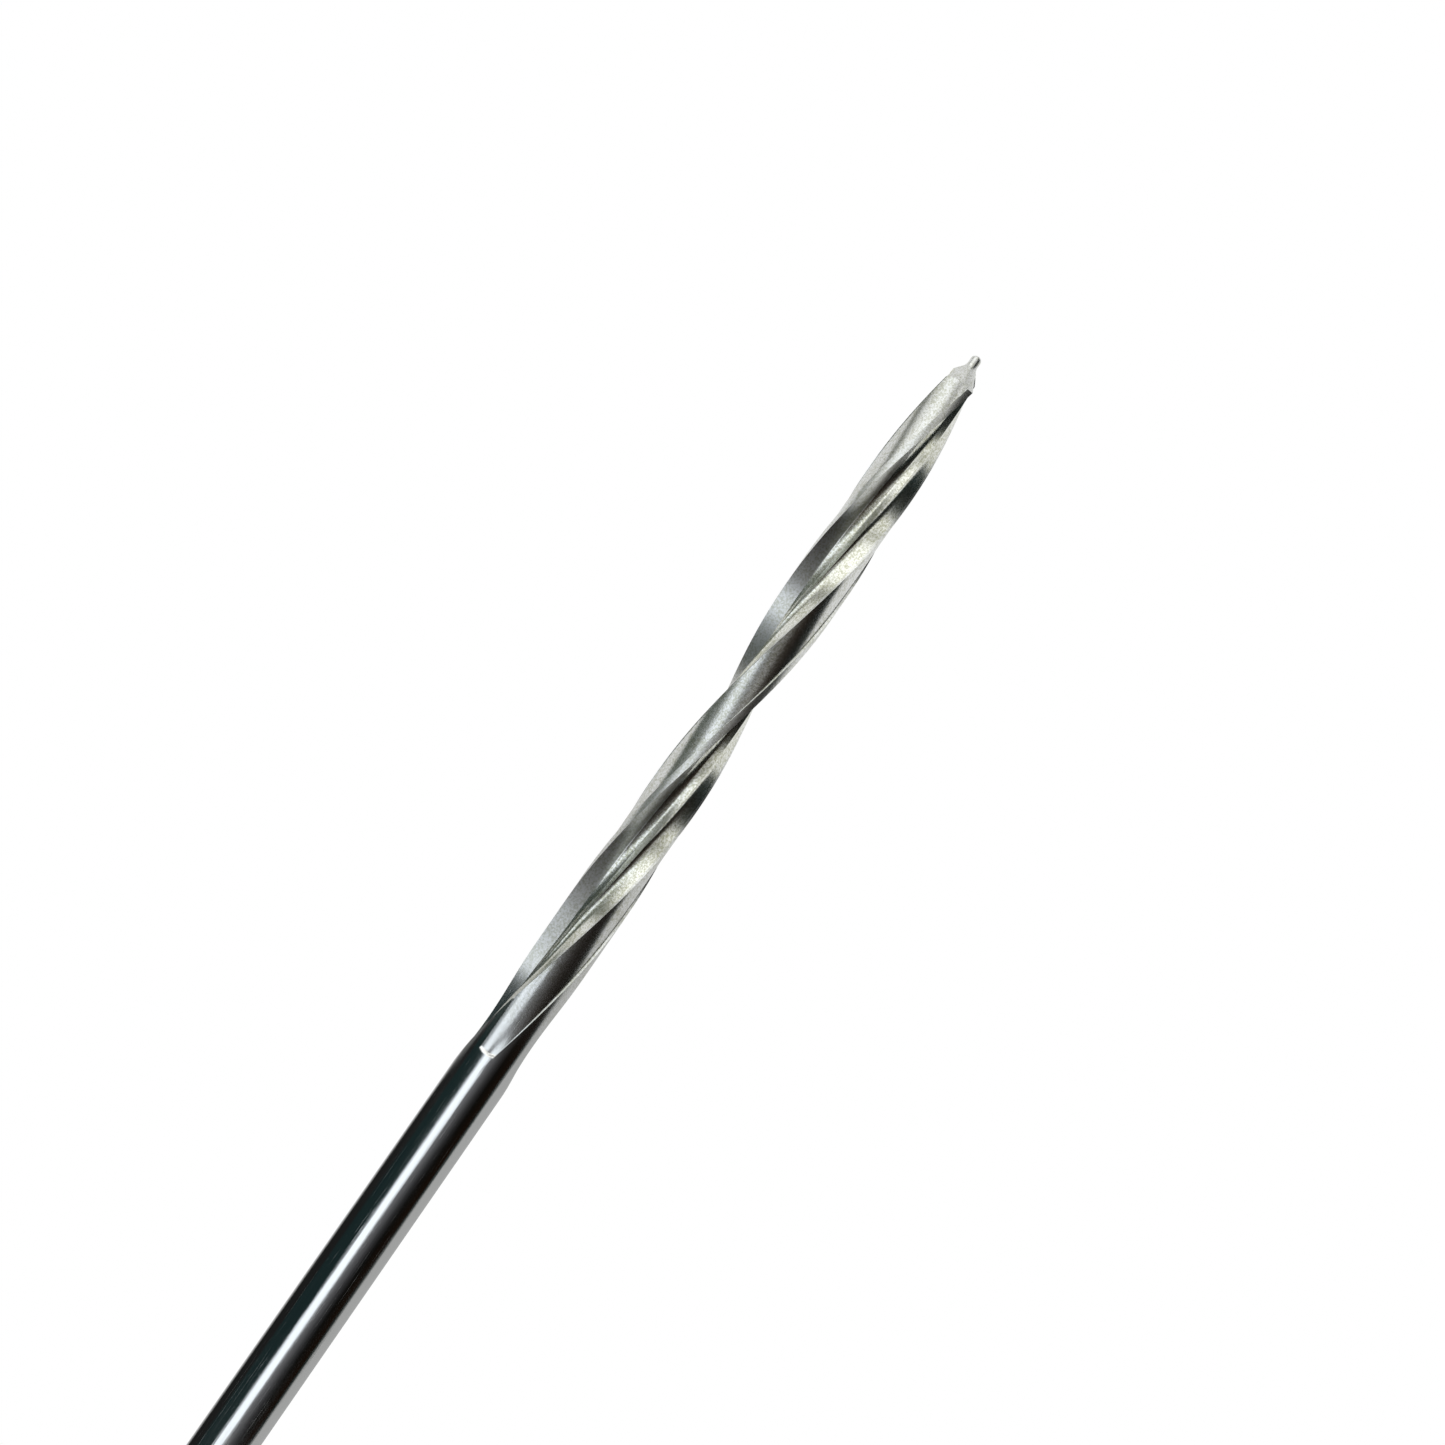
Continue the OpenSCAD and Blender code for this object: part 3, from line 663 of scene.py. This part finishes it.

# %% [markdown]
# ## Finishes of the head
#
# Sheet steel for a hanger is tumbled after stamping, so it is satin with faint marks in every
# direction and its edges are polished by wear. Zinc is brighter and cloudy, black oxide is
# dark with a slight brown cast, cast alloy is blasted, and plastics show the spark-eroded
# skin of their mould. Worn edges come from one group that compares a rounded normal with the
# true one, so any finish can brighten where a hand or a rope would rub it.

# %% Node groups for wear and moulded skin
def make_edge_wear():
    """1 along sharp outer edges, broken up by noise, and 0 elsewhere."""
    group, source, sink = new_group(
        "edge_wear", [("Reach", "NodeSocketFloat", 0.0006), ("Break Up", "NodeSocketFloat", 900.0)],
        [("Wear", "NodeSocketFloat")],
    )
    rounded = add(group, "Bevel", {"Radius": source.outputs["Reach"]}, samples=4)
    true = add(group, "NewGeometry").outputs["Normal"]
    same = add(group, "VectorMath", {0: rounded.outputs[0], 1: true}, operation="DOT_PRODUCT")
    edge = add(group, "MapRange", {"Value": same.outputs["Value"]}, From_Min=0.99, From_Max=0.86)
    place = add(group, "TexCoord").outputs["Object"]
    noise = add(group, "TexNoise", {"Vector": place, "Scale": source.outputs["Break Up"]}, Detail=3.0)
    patch = add(group, "MapRange", {"Value": noise.outputs[0]}, From_Min=0.35, From_Max=0.6, To_Min=0.35)
    wear = add(group, "Math", {0: edge.outputs[0], 1: patch.outputs[0]}, operation="MULTIPLY")
    group.links.new(wear.outputs[0], sink.inputs["Wear"])
    return group


def make_skin():
    """Moulded or blasted skin. Pits puts out fine height and Sheen puts out slow variation."""
    group, source, sink = new_group(
        "moulded_skin", [("Pit Size", "NodeSocketFloat", 5200.0)],
        [("Pits", "NodeSocketFloat"), ("Sheen", "NodeSocketFloat")],
    )
    place = add(group, "TexCoord").outputs["Object"]
    pits = add(group, "TexNoise", {"Vector": place, "Scale": source.outputs["Pit Size"]}, Detail=2.0)
    sheen = add(group, "TexNoise", {"Vector": place}, Scale=170.0, Detail=4.0, Roughness=0.6)
    group.links.new(pits.outputs[0], sink.inputs["Pits"])
    group.links.new(sheen.outputs[0], sink.inputs["Sheen"])
    return group


EDGE_WEAR = make_edge_wear()
SKIN = make_skin()


# %% Metals and plastics of the head
def metal(name, dull, bright, rough, bump, scratch_length=260.0, scratch_width=900.0):
    """A worked metal: two colours mottled by cloud, brighter and smoother along worn edges."""
    material = bpy.data.materials.new(name)
    material.use_nodes = True
    tree = material.node_tree
    skin = tree.nodes["Principled BSDF"]
    skin.inputs["Metallic"].default_value = 1
    wheel = use(tree, GRAIN, Speck_Size=3800.0, Cloud_Size=210.0)
    lines = use(tree, SCRATCHES, Length=scratch_length, Width=scratch_width)
    worn = use(tree, EDGE_WEAR)
    shade = add(tree, "ValToRGB", {"Fac": wheel.outputs["Cloud"]})
    set_ramp(shade, [(0.35, dull), (0.65, bright)])
    polished = tuple(min(1.0, c * 1.15 + 0.08) for c in bright)
    colour = add(tree, "Mix", {0: worn.outputs["Wear"], 6: shade.outputs["Color"]}, data_type="RGBA")
    colour.inputs[7].default_value = (*polished, 1)
    tree.links.new(colour.outputs[2], skin.inputs["Base Color"])
    low, high = rough
    satin = add(tree, "MapRange", {"Value": lines.outputs["Wide"]}, From_Min=0.3, From_Max=0.7,
                To_Min=low, To_Max=high)
    matt = add(tree, "Mix", {0: worn.outputs["Wear"], 2: satin.outputs[0]}, data_type="FLOAT")
    matt.inputs[3].default_value = low * 0.7
    tree.links.new(matt.outputs[0], skin.inputs["Roughness"])
    height = add(tree, "Mix", {2: lines.outputs["Fine"], 3: wheel.outputs["Speck"]}, data_type="FLOAT")
    height.inputs[0].default_value = 0.5
    relief = add(tree, "Bump", {"Height": height.outputs[0]}, Strength=bump, Distance=0.00002)
    tree.links.new(relief.outputs[0], skin.inputs["Normal"])
    return material


def plastic(name, dark, light, rough, pit_size, bump):
    """A moulded plastic: fine pits, slow changes of sheen, and paler rubbed edges."""
    material = bpy.data.materials.new(name)
    material.use_nodes = True
    tree = material.node_tree
    skin = tree.nodes["Principled BSDF"]
    skin.inputs["IOR"].default_value = 1.49
    mould = use(tree, SKIN, Pit_Size=pit_size)
    worn = use(tree, EDGE_WEAR, Reach=0.0004)
    shade = add(tree, "ValToRGB", {"Fac": mould.outputs["Sheen"]})
    set_ramp(shade, [(0.3, dark), (0.7, light)])
    rubbed = tuple(min(1.0, c * 1.5 + 0.02) for c in light)
    colour = add(tree, "Mix", {0: worn.outputs["Wear"], 6: shade.outputs["Color"]}, data_type="RGBA")
    colour.inputs[7].default_value = (*rubbed, 1)
    tree.links.new(colour.outputs[2], skin.inputs["Base Color"])
    low, high = rough
    matt = add(tree, "MapRange", {"Value": mould.outputs["Sheen"]}, From_Min=0.3, From_Max=0.7,
               To_Min=low, To_Max=high)
    tree.links.new(matt.outputs[0], skin.inputs["Roughness"])
    relief = add(tree, "Bump", {"Height": mould.outputs["Pits"]}, Strength=bump, Distance=0.00003)
    tree.links.new(relief.outputs[0], skin.inputs["Normal"])
    return material


SATIN = metal("tumbled_hanger_steel", (0.50, 0.51, 0.52), (0.66, 0.67, 0.68), (0.24, 0.36), 0.35)
ZINC = metal("bright_zinc", (0.56, 0.58, 0.62), (0.76, 0.77, 0.78), (0.16, 0.28), 0.25)
BLACK_OXIDE = metal("black_oxide", (0.035, 0.034, 0.036), (0.09, 0.085, 0.08), (0.28, 0.42), 0.4)
BLASTED = metal("blasted_alloy", (0.34, 0.36, 0.39), (0.47, 0.49, 0.52), (0.38, 0.5), 0.8, 1500.0, 1500.0)
BRONZE = metal("bearing_bronze", (0.50, 0.33, 0.13), (0.72, 0.50, 0.22), (0.25, 0.38), 0.3)
SLIDE = plastic("slide_plastic", (0.62, 0.61, 0.56), (0.74, 0.73, 0.69), (0.35, 0.45), 3000.0, 0.15)
GRIP = plastic("moulded_grip", (0.012, 0.012, 0.013), (0.022, 0.022, 0.024), (0.42, 0.56), 5200.0, 0.7)
BAND = plastic("colour_band", (0.50, 0.040, 0.022), (0.62, 0.060, 0.030), (0.28, 0.38), 4200.0, 0.25)
print("finishes:", sorted(m.name for m in bpy.data.materials))

# %% [markdown]
# ## Sheet metal pieces
#
# The hanger's outline, bends and holes are already right in the CAD model, but its corners
# are razor sharp and no stamped sheet is. So a copy is merged and its flat areas become single
# faces again, and then every edge is bevelled. A real hanger is tumbled until its edges are safe
# for a sling, so its rounding is the largest.

# %% Copies of CAD pieces with rounded edges
def copy_of(node, name):
    """A merged copy of a CAD node, with its triangles joined into flat faces."""
    choose(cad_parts[node])
    bpy.ops.object.duplicate()
    piece = named(name)
    for label in [key for key in piece.keys() if key.startswith("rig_")]:
        del piece[label]
    piece.parent = None
    edit_all(piece)
    bpy.ops.mesh.remove_doubles(threshold=0.001 * MM)
    bpy.ops.mesh.dissolve_limited(angle_limit=math.radians(1.5))
    leave_edit()
    return piece


def soften(piece, width, degrees=35, segments=3):
    """Rounds every edge that turns by more than the given angle."""
    choose(piece)
    bevel = piece.modifiers.new("soft_edges", "BEVEL")
    bevel.width = width * MM
    bevel.segments = segments
    bevel.limit_method = "ANGLE"
    bevel.angle_limit = math.radians(degrees)
    bevel.use_clamp_overlap = True
    bevel.miter_outer = "MITER_ARC"
    apply_all(piece)
    edit_all(piece)
    bpy.ops.mesh.remove_doubles(threshold=0.002 * MM)
    bpy.ops.mesh.dissolve_degenerate(threshold=0.002 * MM)
    leave_edit()


def fit(piece, node, body, material, degrees=32):
    """Gives a finished piece its shading, material and body, and hides the CAD node it stands for."""
    smooth_by_angle(piece, degrees)
    even = piece.modifiers.new("even_shading", "WEIGHTED_NORMAL")
    even.keep_sharp = True
    apply_all(piece)
    piece.data.materials.clear()
    piece.data.materials.append(material)
    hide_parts(node)
    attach(piece, body)
    report(piece)


hanger = copy_of("hanger", "bent_hanger")
soften(hanger, 0.4)
fit(hanger, "hanger", "screw", SATIN)

yoke = copy_of("fold_yoke", "fold_block")
soften(yoke, 0.35)
fit(yoke, "fold_yoke", "crank", BLASTED)

nut = copy_of("head_nut", "hex_nut")
soften(nut, 0.12)
fit(nut, "head_nut", "screw", ZINC)

clip = copy_of("fold_pin_clip", "retaining_clip")
soften(clip, 0.08)
fit(clip, "fold_pin_clip", "screw", BLACK_OXIDE)

end_screw = copy_of("knob_end_screw", "socket_screw")
soften(end_screw, 0.12)
fit(end_screw, "knob_end_screw", "crank", BLACK_OXIDE)

# %% [markdown]
# ## Turned pieces
#
# Washers, pins, bushes and the colour band are all turned or rolled, so each is a closed
# outline that is spun round its axis. The outline starts as a circle of as many points as it
# has corners. Each point is put at its place along the axis and its radius, the corners are
# bevelled, and the spin does the rest. A split ring is spun a little short of a full turn.

# %% Spinning an outline
FOLD = (-10, 0, 42)


def turned(name, outline, axis, centre=(0, 0, 0), sweep=360, soft=0.15, steps=96, start=0.0):
    """Spins a closed outline of (place along the axis, radius) pairs, all in millimetres."""
    bpy.ops.object.select_all(action="DESELECT")
    bpy.ops.mesh.primitive_circle_add(vertices=len(outline), radius=MM)
    piece = named(name)
    run = Vector((axis == "X", axis == "Y", axis == "Z"))
    out = Vector((0, 0, 1)) if axis == "X" else Vector((1, 0, 0))
    out = Matrix.Rotation(math.radians(start), 3, run) @ out
    hub = Vector(centre) * MM
    for vertex, (place, radius) in zip(piece.data.vertices, outline):
        vertex.co = hub + (run * place + out * radius) * MM
    edit_all(piece)
    bpy.ops.mesh.select_all(action="DESELECT")
    leave_edit()
    for vertex, (place, radius) in zip(piece.data.vertices, outline):
        vertex.select = radius > 0
    bpy.ops.object.mode_set(mode="EDIT")
    bpy.ops.mesh.bevel(affect="VERTICES", offset=soft * MM, segments=4, clamp_overlap=True)
    bpy.ops.mesh.select_all(action="SELECT")
    bpy.ops.mesh.spin(steps=steps, angle=math.radians(sweep), center=hub, axis=run)
    bpy.ops.mesh.select_all(action="SELECT")
    bpy.ops.mesh.remove_doubles(threshold=0.002 * MM)
    bpy.ops.mesh.delete_loose()
    bpy.ops.mesh.select_all(action="SELECT")
    bpy.ops.mesh.fill_holes(sides=0)
    bpy.ops.mesh.select_all(action="SELECT")
    bpy.ops.mesh.normals_make_consistent(inside=False)
    leave_edit()
    return piece


def ring_outline(low, high, inner, outer):
    return [(low, inner), (low, outer), (high, outer), (high, inner)]


# %% Washers, pins and bushes
washer = turned("flat_washer", ring_outline(-4.6, -3, 4.2, 8), "X", soft=0.25)
fit(washer, "plain_washer", "screw", ZINC)

split = turned("split_washer", ring_outline(-6.6, -4.6, 4.2, 7), "X", soft=0.2, sweep=353, start=35)
edit_all(split)
leave_edit()
for vertex in split.data.vertices:
    slant = math.radians(7) * (vertex.co.x / MM + 5.6)
    vertex.co = Matrix.Rotation(slant, 3, "X") @ vertex.co
fit(split, "spring_washer", "screw", BLACK_OXIDE)

roll_pin = turned("slotted_pin", ring_outline(-7, 7, 0.6, 1.0), "Y", (-9.85, 0, 0), sweep=335, soft=0.15, start=192, steps=48)
fit(roll_pin, "nut_roll_pin", "screw", BLACK_OXIDE)

pin_outline = [(-10.7, 0), (-10.7, 1.6), (-10.3, 2), (-9.8, 2), (-9.8, 1.5), (-9.1, 1.5), (-9.1, 2), (9, 2),
               (9, 3.5), (10.1, 3.5), (10.5, 2.6), (10.5, 0)]
pin = turned("headed_pin", pin_outline, "Y", FOLD, soft=0.12)
fit(pin, "fold_pin", "screw", ZINC)

left = turned("slide_washer_left", ring_outline(5.4, 6, 2.05, 3.2), "Y", FOLD, soft=0.1)
fit(left, "fold_washer_left", "screw", SLIDE)
right_washer = turned("slide_washer_right", ring_outline(-6, -5.4, 2.05, 3.2), "Y", FOLD, soft=0.1)
fit(right_washer, "fold_washer_right", "screw", SLIDE)

# %% [markdown]
# ## The knob
#
# The knob turns on its stem in two flanged bushes, so both flanges show as thin bronze rings
# at its ends. The grip itself is one moulding: a waisted barrel with round ends, six hollows
# for the finger tips and fine rings near the outer end. A lathe can't give the hollows, so the
# grip is a rolled grid again. Its rings run up the outside and back down through the bore.

# %% Stem, bushes, band and end washer
def down(from_w, to_w):
    """Heights of two distances down the stored knob, measured from the fold axis."""
    return 42 - to_w, 42 - from_w


STEM_AXIS = (-10, 0, 0)
stem = turned("turning_stem", [(42 - 3, 0), (42 - 3, 2.5), (42 - 31.1, 2.5), (42 - 31.1, 1.25), (42 - 24.1, 1.25),
                               (42 - 24.1, 0)], "Z", STEM_AXIS, soft=0.15)
fit(stem, "knob_stem", "crank", ZINC)

inner_bush = turned(
    "flanged_bush_inner",
    [(42 - 8.3, 2.55), (42 - 8.3, 4.4), (42 - 8.9, 4.4), (42 - 8.9, 3.5), (42 - 14.9, 3.5), (42 - 14.9, 2.55)],
    "Z", STEM_AXIS, soft=0.12,
)
fit(inner_bush, "knob_bush_inner", "knob", BRONZE)
outer_bush = turned(
    "flanged_bush_outer",
    [(42 - 30.9, 2.55), (42 - 30.9, 4.4), (42 - 30.3, 4.4), (42 - 30.3, 3.5), (42 - 24.3, 3.5), (42 - 24.3, 2.55)],
    "Z", STEM_AXIS, soft=0.12,
)
fit(outer_bush, "knob_bush_outer", "knob", BRONZE)

low, high = down(24.65, 26.95)
band = turned("length_band", [(low, 5.62), (low, 6.25), (low + 0.5, 6.38), (high - 0.5, 6.38), (high, 6.25),
                              (high, 5.62)], "Z", STEM_AXIS, soft=0.2)
fit(band, "knob_colour_band", "knob", BAND)

low, high = down(31.1, 31.9)
end_washer = turned("end_washer", ring_outline(low, high, 1.3, 4.2), "Z", STEM_AXIS, soft=0.18)
fit(end_washer, "knob_end_washer", "crank", ZINC)

# %% Moulded grip
GRIP_FROM, GRIP_TO, GRIP_R, BORE_R = 8.9, 30.3, 6.5, 3.5
WAIST_R, WAIST_DEPTH, END_ROUND = 24, 0.7, 1.2
BAND_FROM, BAND_TO, BAND_SEAT = 24.6, 27.0, 5.6
HOLLOW_R, HOLLOW_OUT, HOLLOW_FROM, HOLLOW_TO = 2.2, 8.2, 3, 14
grip_turns = np.arange(240) / 240 * 2 * np.pi


def barrel_radius(w):
    """Radius of the plain barrel at distance w down from the fold axis."""
    middle = (GRIP_FROM + GRIP_TO) / 2 - 1.2
    waist = GRIP_R + WAIST_R - WAIST_DEPTH - math.sqrt(WAIST_R**2 - (w - middle) ** 2)
    end = max(GRIP_FROM + END_ROUND - w, w - GRIP_TO + END_ROUND, 0)
    rounded = GRIP_R - END_ROUND + math.sqrt(max(0, END_ROUND**2 - end**2))
    return min(waist, rounded)


def hollow_radius(w):
    """Radius to which the six finger hollows cut at distance w, for every column."""
    beyond = max(GRIP_FROM + HOLLOW_FROM - w, w - GRIP_FROM - HOLLOW_TO, 0)
    reach = math.sqrt(max(0, HOLLOW_R**2 - beyond**2))
    off = (grip_turns + np.pi / 6) % (np.pi / 3) - np.pi / 6
    inside = reach**2 - (HOLLOW_OUT * np.sin(off)) ** 2
    cut = HOLLOW_OUT * np.cos(off) - np.sqrt(np.maximum(inside, 0))
    return np.where(inside > 0, cut, 99)


def blended(a, b, width=0.12):
    """The smaller of two radii, with the edge between them rounded over."""
    h = np.clip(0.5 + 0.5 * (b - a) / width, 0, 1)
    return b + (a - b) * h - width * h * (1 - h)


def rib(w):
    """Depth of the fine grip rings at distance w."""
    return 0.16 * max(0, math.cos((w - 22.6) * 2 * math.pi / 1.0)) ** 2 if 21.1 < w < 24.1 else 0.0


def grip_ring(w, r):
    r = r + 0 * grip_turns
    x, y = -10 + r * np.cos(grip_turns), r * np.sin(grip_turns)
    return np.stack([x, y, 42 - w + 0 * r], axis=1) * MM


def grip_rings():
    a = np.linspace(0, np.pi / 2, 9)
    places = list(GRIP_FROM + END_ROUND * (1 - np.cos(a))) + list(np.linspace(GRIP_FROM + END_ROUND, BAND_FROM - 0.15, 110)[1:])
    rings = [grip_ring(GRIP_FROM, BORE_R), grip_ring(GRIP_FROM, 4.2)]
    rings += [grip_ring(w, blended(barrel_radius(w), hollow_radius(w)) - rib(w)) for w in places]
    edge = barrel_radius(BAND_FROM)
    rings += [grip_ring(BAND_FROM - 0.05, edge - 0.03), grip_ring(BAND_FROM, edge - 0.15)]
    rings += [grip_ring(BAND_FROM, BAND_SEAT), grip_ring(BAND_TO, BAND_SEAT)]
    edge = barrel_radius(BAND_TO)
    rings += [grip_ring(BAND_TO, edge - 0.15), grip_ring(BAND_TO + 0.05, edge - 0.03)]
    places = list(np.linspace(BAND_TO + 0.15, GRIP_TO - END_ROUND, 14)) + list(GRIP_TO - END_ROUND * (1 - np.sin(a)))[1:]
    rings += [grip_ring(w, barrel_radius(w)) for w in places]
    rings += [grip_ring(GRIP_TO, 4.2), grip_ring(GRIP_TO, BORE_R), grip_ring(GRIP_FROM, BORE_R)]
    return np.array(rings)


grip = roll_grid("moulded_knob", grip_rings())
fit(grip, "knob_grip", "knob", GRIP, 40)

# %% [markdown]
# ## Detent balls and spring
#
# Two hardened balls push out of the block and click into dimples in the lugs, once with the
# crank stored and once with it open. They are bearing balls, so each one is a plain sphere.
# The spring between them can't be seen in use, so it keeps its CAD shape and gets a finish.

# %% Detent balls
balls = []
for side in (-1, 1):
    bpy.ops.mesh.primitive_uv_sphere_add(
        segments=40, ring_count=20, radius=1.25 * MM, location=(-10 * MM, side * 4.65 * MM, 46.2 * MM))
    balls.append(bpy.context.object)
choose(balls[0])
balls[1].select_set(True)
bpy.ops.object.join()
click_balls = named("click_balls")
bpy.ops.object.transform_apply(location=True, rotation=False, scale=False)
fit(click_balls, "detent_balls", "crank", ZINC, 60)

# %% Detent spring
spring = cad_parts["detent_spring"]
spring.data.materials.clear()
spring.data.materials.append(BLACK_OXIDE)
print("detent_spring keeps its CAD shape")
